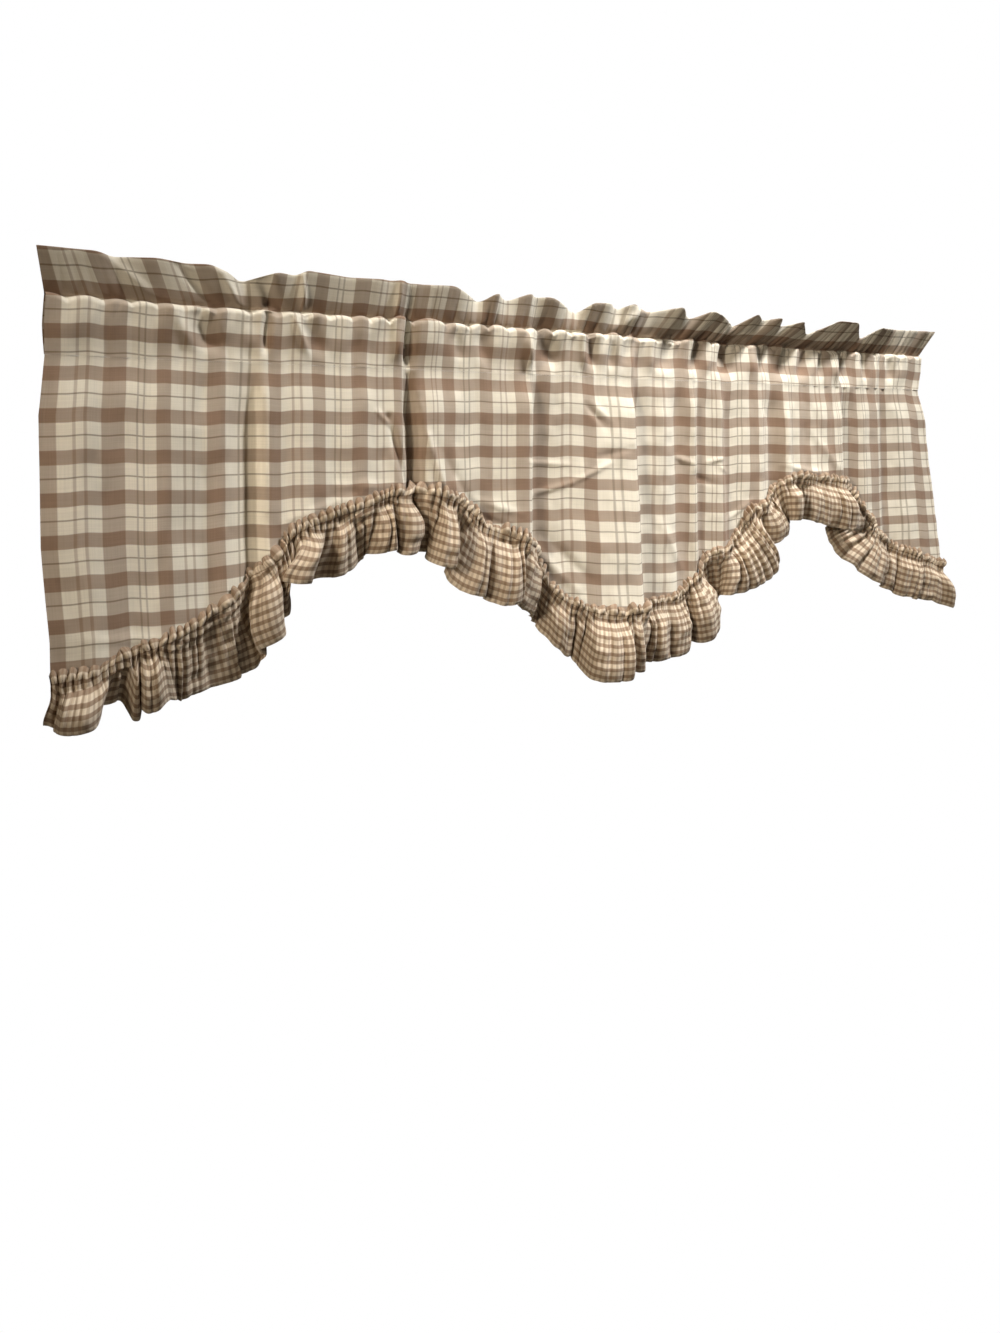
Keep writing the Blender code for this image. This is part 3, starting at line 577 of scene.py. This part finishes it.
def head_surface(at, share):
    """The ruched head: share 0 is the stitching, 1 its raw top. Each loop swells forward and rolls back."""
    along = np.interp(at, seam_places, seam_along)
    turn = along / HEAD_PITCH + STRAY * wander(along, STRAY_PITCHES * HEAD_PITCH, 61)
    loop = np.abs(np.sin(np.pi * turn)) ** 0.65
    size = LOOP_SIZE + sum(tall * wander(along, pitch, seed) for tall, pitch, seed in LOOP_UNEVEN)
    hang = hang_direction(at)
    length = -HEAD_HEIGHT * share * (LEAST_LOOP + (1 - LEAST_LOOP) * loop * size)
    height = -scallop_drop(at) + hang[..., 1] * length
    face, across = on_panel(at + hang[..., 0] * length / HUNG_WIDTH, height)
    swell = np.sin(np.pi * (SWELL_FROM + SWELL_TURN * share)) - np.sin(np.pi * SWELL_FROM) * (1 - share)
    forward = SEAM_OFFSET + pleats(along, 0) * (1 - share) + swell * (SWELL * loop * size - SWELL_BACK)
    sideways = LOOP_SWING * wander(along, SWING_PITCH, 75) - LOOP_LEAN * np.sin(2 * np.pi * turn)
    x = face[..., 0] + across[..., 0] * forward + share * sideways
    y = face[..., 1] + across[..., 1] * forward
    return np.stack([x, y, height], -1)


print("a point of the head:", head_surface(MIDDLE, MIDDLE).round(3))

# %% [markdown]
#
# A plaid is woven, so it belongs to the cloth and not to the air around it: its stripes bend with every
# fold. The cloth therefore carries its own flat measure as a UV map, in metres: U across the width of the
# bolt and V down its length. Where each wide brown stripe of the warp has come to lie is listed, and the
# flat measure runs evenly between them.

# %% The check's own measures: widths of its stripes in millimetres
WARP_BROWN = 17.5
WARP_WIDE = 38.0
WARP_NARROW = 28.0
WARP_REPEAT = 2 * WARP_BROWN + WARP_WIDE + WARP_NARROW
WEFT_REPEAT = 35.4
WEFT_BROWN = 12.7
WEFT_START = 2.3 + WEFT_BROWN / 2  # measure of the weft at the top line
GINGHAM = 8.4
print("repeat of the plaid:", WARP_REPEAT, "by", WEFT_REPEAT, "mm")

# %% Brown warp stripes: middle along the valance, half width there
WARP_STRIPES = (
    (0.003, 0.0075), (0.047, 0.008), (0.081, 0.005), (0.120, 0.0065), (0.165, 0.005), (0.201, 0.0055),
    (0.236, 0.007), (0.272, 0.0045), (0.290, 0.0065), (0.319, 0.006), (0.358, 0.0065), (0.393, 0.0065),
    (0.421, 0.008), (0.471, 0.0065), (0.528, 0.0065), (0.591, 0.009), (0.619, 0.006), (0.652, 0.009),
    (0.692, 0.006), (0.729, 0.0085), (0.773, 0.009), (0.813, 0.006), (0.837, 0.005), (0.860, 0.006),
    (0.894, 0.009), (0.918, 0.0055), (0.975, 0.009),
)
FLAT_ROUND, FLAT_READINGS = 0.004, 5  # the width and the readings of its average


def flat_width(at):
    """Flat measure across the cloth at each place: even between the edges of the brown stripes."""
    places, flat = [], []
    edge = 0.0
    for number, (middle, half) in enumerate(WARP_STRIPES):
        places += [middle - half, middle + half]
        flat += [edge, edge + WARP_BROWN]
        edge += WARP_BROWN + (WARP_WIDE if number % 2 == 0 else WARP_NARROW)
    shifts = np.linspace(-0.5, 0.5, FLAT_READINGS) * FLAT_ROUND
    runs = [np.interp(at + shift, places, flat) for shift in shifts]
    outside = np.clip(at - places[-1], 0, 1) - np.clip(places[0] - at, 0, 1)
    return sum(runs) / len(runs) * MM + outside * HUNG_WIDTH


CUT_WIDTH = float(np.ptp(flat_width(np.array([0.0, 1.0])))) + 2 * SIDE_HEM
print("width of the cut cloth:", round(CUT_WIDTH, 2), "m")

# %% Sag of the weft: place, how much lower the cross stripes hang at the hem (mm)
WEFT_SAG = (
    (0.00, 0), (0.40, 0), (0.45, 3), (0.52, 6), (0.53, -3), (0.60, 0), (1.00, -3),
)
SAG_ROUND, SAG_GROWS = 0.006, 0.27  # the sag is whole this far below the pocket
WEFT_WAVES = ((0.0016, 0.05, 81), (0.0009, 0.014, 82))  # height (m), pitch along the valance, seed
LEAN_IN_WEAVE = 0.4  # part of the frill's lean that its stripes stay behind


def plaid_uv(at, height, side=1.0):
    """Flat U across and V down the plaid cloth, with the sag of its weft. Side is -1 on the back layer."""
    drop = -height
    sag = turned(at, WEFT_SAG, 1, SAG_ROUND) * np.clip((drop - PANEL_TOP) / SAG_GROWS, 0, 1)
    sag += sum(tall * wander(at, pitch, seed) for tall, pitch, seed in WEFT_WAVES)
    frill = np.clip(1 - drop / FRILL_HEIGHT, 0, 1)
    u = flat_width(at) - LEAN_IN_WEAVE * turned(at, FRILL_LEAN, 1, LEAN_ROUND) * frill
    return np.stack([u, side * (drop - sag) + WEFT_START * MM], -1)


print("uv of the middle:", plaid_uv(MIDDLE, -0.2 * MIDDLE).round(3))

# %% [markdown]
# ## Making a mesh from a surface
#
# One helper turns a grid of points into a mesh: quads in rows, smooth shaded, with the cloth's flat measure
# as its UV map. The cotton is so thin that one layer of faces stands for it.

# %% Grid helpers
FINE_STEPS = 12000  # in which a folded line is measured


def grid_faces(columns, rows):
    """Corner numbers of the quads of a grid with this many cells, wound to face the front."""
    start = (np.arange(rows)[:, None] * (columns + 1) + np.arange(columns)[None, :]).ravel()
    return np.stack([start, start + columns + 1, start + columns + 2, start + 1], axis=1)


def cloth_piece(name, points, uv, material):
    """A sheet of cloth from a grid of points of shape (rows + 1, columns + 1, 3) and their flat measures."""
    rows, columns = points.shape[0] - 1, points.shape[1] - 1
    faces = grid_faces(columns, rows)
    mesh = bpy.data.meshes.new(name)
    mesh.vertices.add(points.shape[0] * points.shape[1])
    mesh.vertices.foreach_set("co", points.astype(np.float32).ravel())
    mesh.loops.add(faces.size)
    mesh.loops.foreach_set("vertex_index", faces.astype(np.int32).ravel())
    mesh.polygons.add(len(faces))
    mesh.polygons.foreach_set("loop_start", np.arange(0, faces.size, 4, dtype=np.int32))
    mesh.update(calc_edges=True)
    flat = mesh.uv_layers.new(name="Flat cloth")
    flat.data.foreach_set("uv", uv.reshape(-1, 2)[faces.ravel()].astype(np.float32).ravel())
    mesh.shade_smooth()
    mesh.materials.append(material)
    piece = bpy.data.objects.new(name, mesh)
    scene.collection.objects.link(piece)
    print(name, "quads:", len(faces))
    return piece


def even_places(surface, count, height):
    """Places equally far apart along a surface's line at this height, and the line's length."""
    dense = np.linspace(0, 1, FINE_STEPS + 1)
    line = surface(dense, np.full_like(dense, height))
    steps = np.linalg.norm(np.diff(line, axis=0), axis=1)
    along = np.concatenate([[0], np.cumsum(steps)])
    return np.interp(np.linspace(0, along[-1], count + 1), along, dense), float(along[-1])


# %% [markdown]
# ## The finishes
#
# Both cloths are yarn-dyed plain weave. A brown stripe of the warp over a cream weft gives tan, and where
# brown crosses brown it is darkest, so the two directions are worked out apart and then laid over each
# other. Slubs in the yarn make fine streaks, and the weave itself is a shallow bump of crossing waves.

# %% Helpers for materials
def set_inputs(node, values):
    """Set the inputs of a node, by their names."""
    for name, value in values.items():
        node.inputs[name].default_value = value


def maths(tree, operation, first, second=None):
    """A Math node on sockets or numbers. It gives the output socket."""
    node = tree.nodes.new("ShaderNodeMath")
    node.operation = operation
    for slot, value in enumerate((first, second)):
        if isinstance(value, (int, float)):
            node.inputs[slot].default_value = value
        elif value is not None:
            tree.links.new(value, node.inputs[slot])
    return node.outputs[0]


def stripes(tree, coordinate, repeat, bands, soft=0.35):
    """Strength of the dyed yarn along one direction: bands are (start, end, strength), in mm of a repeat."""
    turns = maths(tree, "DIVIDE", coordinate, repeat * MM)
    share = maths(tree, "FRACT", turns)
    ramp = tree.nodes.new("ShaderNodeValToRGB")
    elements = ramp.color_ramp.elements
    elements[0].position, elements[0].color = 0.0, (0, 0, 0, 1)
    elements[1].position, elements[1].color = 1.0, (0, 0, 0, 1)
    for start, end, strength in bands:
        rim = min(soft, 0.4 * (end - start))
        edges = ((start - rim, 0), (start + rim, strength), (end - rim, strength), (end + rim, 0))
        for place, value in edges:
            element = elements.new(min(max(place / repeat, 0.0), 1.0))
            element.color = (value, value, value, 1)
    tree.links.new(share, ramp.inputs[0])
    return ramp.outputs[0]


def mixed(tree, factor, first, second):
    """A Mix node between two colours, sockets or values."""
    node = tree.nodes.new("ShaderNodeMix")
    node.data_type = "RGBA"
    for name, kind, value in (("Factor", "VALUE", factor), ("A", "RGBA", first), ("B", "RGBA", second)):
        socket = [s for s in node.inputs if s.name == name and s.type == kind][0]
        if isinstance(value, tuple):
            socket.default_value = (*value, 1)
        elif isinstance(value, (int, float)):
            socket.default_value = value
        else:
            tree.links.new(value, socket)
    return [s for s in node.outputs if s.type == "RGBA"][0]


def streaks(tree, vector, across, along, detail=2.0):
    """Noise stretched along one direction of the flat cloth, as slubs in the yarn are."""
    mapping = tree.nodes.new("ShaderNodeMapping")
    mapping.inputs["Scale"].default_value = (across, along, 1)
    tree.links.new(vector, mapping.inputs["Vector"])
    noise = tree.nodes.new("ShaderNodeTexNoise")
    set_inputs(noise, {"Scale": 1.0, "Detail": detail})
    tree.links.new(mapping.outputs[0], noise.inputs["Vector"])
    return noise.outputs[0]


SLUB_FINE, SLUB_LONG, WORN = 900, 22, 18  # noise per metre: across a slub, along it, worn patches
SLUB_SHARE, WORN_SHARE, WEAVE_SHARE, BASE_SHADE = 0.42, 0.16, 0.05, 0.71


def woven(name, cream, dark, warp, weft, lines, yarn, depth):
    """A yarn-dyed plain weave.

    warp and weft are (repeat, bands, strength) of the wide stripes. lines are (warp bands, weft bands,
    colour) of the thin ones. Yarn is the pitch of the weave, and depth its bump.
    """
    material = bpy.data.materials.new(name)
    material.use_nodes = True
    tree = material.node_tree
    link = tree.links.new
    shader = tree.nodes["Principled BSDF"]
    measure = tree.nodes.new("ShaderNodeUVMap")
    measure.uv_map = "Flat cloth"
    split = tree.nodes.new("ShaderNodeSeparateXYZ")
    link(measure.outputs[0], split.inputs[0])
    across, down = split.outputs[0], split.outputs[1]

    brown_warp = stripes(tree, across, warp[0], warp[1])
    brown_weft = stripes(tree, down, weft[0], weft[1])
    light_warp = maths(tree, "SUBTRACT", 1.0, maths(tree, "MULTIPLY", brown_warp, warp[2]))
    light_weft = maths(tree, "SUBTRACT", 1.0, maths(tree, "MULTIPLY", brown_weft, weft[2]))
    dyed = maths(tree, "SUBTRACT", 1.0, maths(tree, "MULTIPLY", light_warp, light_weft))
    colour = mixed(tree, dyed, cream, dark)
    if lines:
        thin_warp = stripes(tree, across, warp[0], lines[0], 0.2)
        thin_weft = stripes(tree, down, weft[0], lines[1], 0.2)
        colour = mixed(tree, maths(tree, "MAXIMUM", thin_warp, thin_weft), colour, lines[2])

    wave_across = maths(tree, "SINE", maths(tree, "MULTIPLY", across, 2 * np.pi / yarn))
    wave_down = maths(tree, "SINE", maths(tree, "MULTIPLY", down, 2 * np.pi / yarn))
    weave = maths(tree, "MULTIPLY", wave_across, wave_down)
    slub_down = streaks(tree, measure.outputs[0], SLUB_FINE, SLUB_LONG)
    slub_across = streaks(tree, measure.outputs[0], SLUB_LONG, SLUB_FINE)
    worn = streaks(tree, measure.outputs[0], WORN, WORN, 3.0)
    yarn_shade = maths(tree, "MULTIPLY", maths(tree, "ADD", slub_down, slub_across), 0.5)
    shade = BASE_SHADE
    for part, strength in ((yarn_shade, SLUB_SHARE), (worn, WORN_SHARE), (weave, WEAVE_SHARE)):
        shade = maths(tree, "ADD", shade, maths(tree, "MULTIPLY", part, strength))
    tone = tree.nodes.new("ShaderNodeVectorMath")
    tone.operation = "SCALE"
    link(colour, tone.inputs[0])
    link(shade, tone.inputs["Scale"])
    link(tone.outputs[0], shader.inputs["Base Color"])

    relief = maths(tree, "ADD", weave, maths(tree, "MULTIPLY", yarn_shade, 2.0))
    bump = tree.nodes.new("ShaderNodeBump")
    set_inputs(bump, {"Strength": 0.6, "Distance": depth})
    link(relief, bump.inputs["Height"])
    link(bump.outputs[0], shader.inputs["Normal"])
    set_inputs(shader, {"Roughness": 0.92, "Specular IOR Level": 0.2})
    set_inputs(shader, {"Sheen Weight": 0.12, "Sheen Roughness": 0.5})
    return material


print("helpers ready")

# %% The two cloths
SECOND_BROWN, NARROW_FROM = WARP_BROWN + WARP_WIDE, 2 * WARP_BROWN + WARP_WIDE
INSET = 0.4  # the first band starts here, so that its soft rim doesn't reach over the repeat
WARP_BANDS = (
    (INSET, WARP_BROWN, 1), (30.4, 33.3, 0.7), (39.8, 42.8, 0.7), (SECOND_BROWN, NARROW_FROM, 1),
)
WARP_LINES = (
    (NARROW_FROM + 10.0, NARROW_FROM + 11.7, 0.42), (NARROW_FROM + 15.8, NARROW_FROM + 17.5, 0.42),
)
WEFT_LINES = ((WEFT_BROWN / 2 + 17.0, WEFT_BROWN / 2 + 18.4, 0.6),)
GINGHAM_BANDS = ((INSET, GINGHAM / 2, 1),)
CREAM = (0.78, 0.73, 0.62)
DARK_YARN = (0.165, 0.066, 0.022)
LINE_YARN = (0.13, 0.085, 0.045)
GINGHAM_CREAM = (0.70, 0.60, 0.47)
GINGHAM_BROWN = (0.15, 0.070, 0.028)
WEAVE_DEPTH = 0.00012
plaid = woven(
    "Plaid homespun",
    CREAM,
    DARK_YARN,
    warp=(WARP_REPEAT, WARP_BANDS, 0.52),
    weft=(WEFT_REPEAT, ((INSET, WEFT_BROWN, 1),), 0.63),
    lines=(WARP_LINES, WEFT_LINES, LINE_YARN),
    yarn=0.0009,
    depth=WEAVE_DEPTH,
)
gingham = woven(
    "Brown gingham",
    GINGHAM_CREAM,
    GINGHAM_BROWN,
    warp=(GINGHAM, GINGHAM_BANDS, 0.36),
    weft=(GINGHAM, GINGHAM_BANDS, 0.64),
    lines=None,
    yarn=0.0008,
    depth=WEAVE_DEPTH,
)
print("finishes:", plaid.name, "and", gingham.name)

# %% The panel
PANEL_COLUMNS, PANEL_ROWS = 640, 150
panel_places, _ = even_places(panel_surface, PANEL_COLUMNS, height=0.6)
at, down = np.meshgrid(panel_places, np.linspace(0, 1, PANEL_ROWS + 1))
points = panel_surface(at, down)
panel = cloth_piece("panel_cloth", points, plaid_uv(at, points[..., 2]), plaid)

# %% The heading
HEADING_COLUMNS = 980
STRAIGHT_TO, FRILL_TO = 0.8, 1.96  # levels are even below the first, and in the frill up to the second
roll_levels = STRAIGHT_TO + (1 - STRAIGHT_TO) * np.sin(np.linspace(0, np.pi / 2, 12))[1:]
frill_levels = 1 + (FRILL_TO - 1) * np.linspace(0, 1, 17)[1:-1]
fold_levels = (1.970, 1.985, 1.995)
front_levels = np.concatenate([np.linspace(0, STRAIGHT_TO, 17), roll_levels, frill_levels, fold_levels])
levels = np.concatenate([front_levels, [2.0], front_levels[::-1]])
sides = np.concatenate([np.ones(len(front_levels)), [0.0], -np.ones(len(front_levels))])
heading_places, _ = even_places(lambda at, level: heading_surface(at, level, 1), HEADING_COLUMNS, height=1.6)
at, level = np.meshgrid(heading_places, levels)
side = np.broadcast_to(sides[:, None], at.shape)
points = heading_surface(at, level, side)
uv = plaid_uv(at, points[..., 2], np.where(side < 0, -1, 1))
heading = cloth_piece("heading_cloth", points[::-1], uv[::-1], plaid)

# %% The ruffle below its stitching
RUFFLE_COLUMNS, RUFFLE_ROWS = 2300, 41
PUCKERED = 1.3  # tiny puckers, too small to build, make the checks narrower by this
ruffle_places, ruffle_run = even_places(ruffle_surface, RUFFLE_COLUMNS, height=0.8)
strip = np.linspace(0, ruffle_run, RUFFLE_COLUMNS + 1)
at, share = np.meshgrid(ruffle_places, np.linspace(0, 1, RUFFLE_ROWS + 1))
points = ruffle_surface(at, share)
from_hem = (share - 1) * turned(at, RUFFLE_TURNS, 2, SKIRT_ROUND)
uv = np.stack([PUCKERED * np.interp(at, ruffle_places, strip), from_hem], -1)
ruffle = cloth_piece("ruffle_cloth", points, uv, gingham)
print("length of the gathered strip:", round(ruffle_run, 2), "m")

# %% The ruched head of the ruffle
HEAD_COLUMNS, HEAD_ROWS = 2800, 10
HEAD_CHECKS, CHECKS_START = 1.05, 0.62  # checks up the head, and where its stitching lies in them
head_places = np.interp(np.linspace(0, seam_along[-1], HEAD_COLUMNS + 1), seam_along, seam_places)
at, share = np.meshgrid(head_places, np.linspace(1, 0, HEAD_ROWS + 1))
points = head_surface(at, share)
up_head = GINGHAM * MM * (HEAD_CHECKS * share - CHECKS_START)
uv = np.stack([PUCKERED * np.interp(at, ruffle_places, strip), up_head], -1)
ruched_head = cloth_piece("ruffle_head", points, uv, gingham)

# %% [markdown]
# ## Tying the cloth to the frame
#
# Each piece stands for a solid of the frame, which stays for collisions. It hangs from the root, and the
# solid is hidden but stays in the scene.

# %% Pieces
for piece, node, slot in (
    (heading, "heading", "plaid_cotton"),
    (panel, "panel", "plaid_cotton"),
    (ruffle, "ruffle", "gingham_cotton"),
    (ruched_head, "ruffle", "gingham_cotton"),
):
    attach(piece, "root")
    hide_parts(node)

# %% [markdown]
# ## The studio
#
# A valance hangs high, so the pale floor is far below it. The key light stands high on the right, so the
# left flank of each fold is in shade. A low warm light skims over the folds from the left, a narrower one
# lights the first deep fold, and a soft fill stands in front.

# %% Floor and world
FLOOR_RADIUS, FLOOR_Y, FLOOR_Z, FLOOR_CORNERS = 0.9, -0.1, -2.1, 48
WARM_FILL, FILL_STRENGTH = (1.0, 0.74, 0.42, 1), 0.05
floor_mesh = bpy.data.meshes.new("floor")
round_floor = np.linspace(0, 2 * np.pi, FLOOR_CORNERS, endpoint=False)
corners = [(np.cos(a) * FLOOR_RADIUS, np.sin(a) * FLOOR_RADIUS + FLOOR_Y, FLOOR_Z) for a in round_floor]
floor_mesh.from_pydata(corners, [], [tuple(range(FLOOR_CORNERS))])
floor = bpy.data.objects.new("floor", floor_mesh)
scene.collection.objects.link(floor)
pale = bpy.data.materials.new("Pale floor")
pale.use_nodes = True
matt_paint = {"Base Color": (0.85, 0.85, 0.84, 1), "Roughness": 0.8}
set_inputs(pale.node_tree.nodes["Principled BSDF"], matt_paint)
floor_mesh.materials.append(pale)

world = bpy.data.worlds.new("Studio")
scene.world = world
world.use_nodes = True
sky = world.node_tree
backdrop = sky.nodes["Background"]
set_inputs(backdrop, {"Color": (1, 1, 1, 1), "Strength": 1.0})
fill = sky.nodes.new("ShaderNodeBackground")
set_inputs(fill, {"Color": WARM_FILL, "Strength": FILL_STRENGTH})
seen = sky.nodes.new("ShaderNodeLightPath")
choice = sky.nodes.new("ShaderNodeMixShader")
sky.links.new(seen.outputs["Is Camera Ray"], choice.inputs[0])
sky.links.new(fill.outputs[0], choice.inputs[1])
sky.links.new(backdrop.outputs[0], choice.inputs[2])
sky.links.new(choice.outputs[0], sky.nodes["World Output"].inputs[0])
print("floor at", FLOOR_Z, "m")

# %% Lights
LIGHTS = (
    # name, place and target (m), size (m), power (W), colour, spread (degrees)
    ("Key from above", (0.8, -1.1, 2.2), (0.18, 0, -0.2), 0.32, 12.0, (1.0, 0.98, 0.95), 50),
    ("Low warm light", (-1.9, -0.95, 0.35), (0.42, 0, -0.32), 0.30, 1.35, (1.0, 0.86, 0.68), 42),
    ("Light on the first fold", (-2.2, -0.40, -0.05), (-0.42, 0, -0.22), 0.15, 0.08, (1.0, 0.90, 0.78), 14),
    ("Soft fill in front", (0.3, -2.3, 0.7), (0.25, 0, -0.3), 0.8, 1.2, (0.96, 0.97, 1.0), 120),
)


def soft_light(name, place, target, size, power, colour, spread):
    """A square area light at a place, facing the target."""
    lamp = bpy.data.lights.new(name, "AREA")
    lamp.size = size
    lamp.energy = power
    lamp.color = colour
    lamp.spread = np.radians(spread)
    holder = bpy.data.objects.new(name, lamp)
    holder.location = place
    holder.rotation_euler = (Vector(target) - Vector(place)).to_track_quat("-Z", "Y").to_euler()
    scene.collection.objects.link(holder)


for light in LIGHTS:
    soft_light(*light)
print("lights placed:", len(LIGHTS))

# %% The camera
EYE = (-0.7416, -0.9062, -0.157)
VIEW_TURN = np.radians(90 - 57.04)  # from straight at the front towards the right end
SENSOR, LENS = 36, 36
VIEW_SHIFT = -0.2305
camera_data = bpy.data.cameras.new("Camera")
camera_data.sensor_fit = "HORIZONTAL"
camera_data.sensor_width = SENSOR
camera_data.lens = LENS
camera_data.shift_y = VIEW_SHIFT
camera_data.clip_start = 0.01
camera = bpy.data.objects.new("Camera", camera_data)
upright = Matrix.Rotation(np.pi / 2, 4, "X")
camera.matrix_world = Matrix.Translation(EYE) @ Matrix.Rotation(-VIEW_TURN, 4, "Z") @ upright
scene.collection.objects.link(camera)
scene.camera = camera
scene.view_settings.view_transform = "Standard"
print("camera at", EYE)
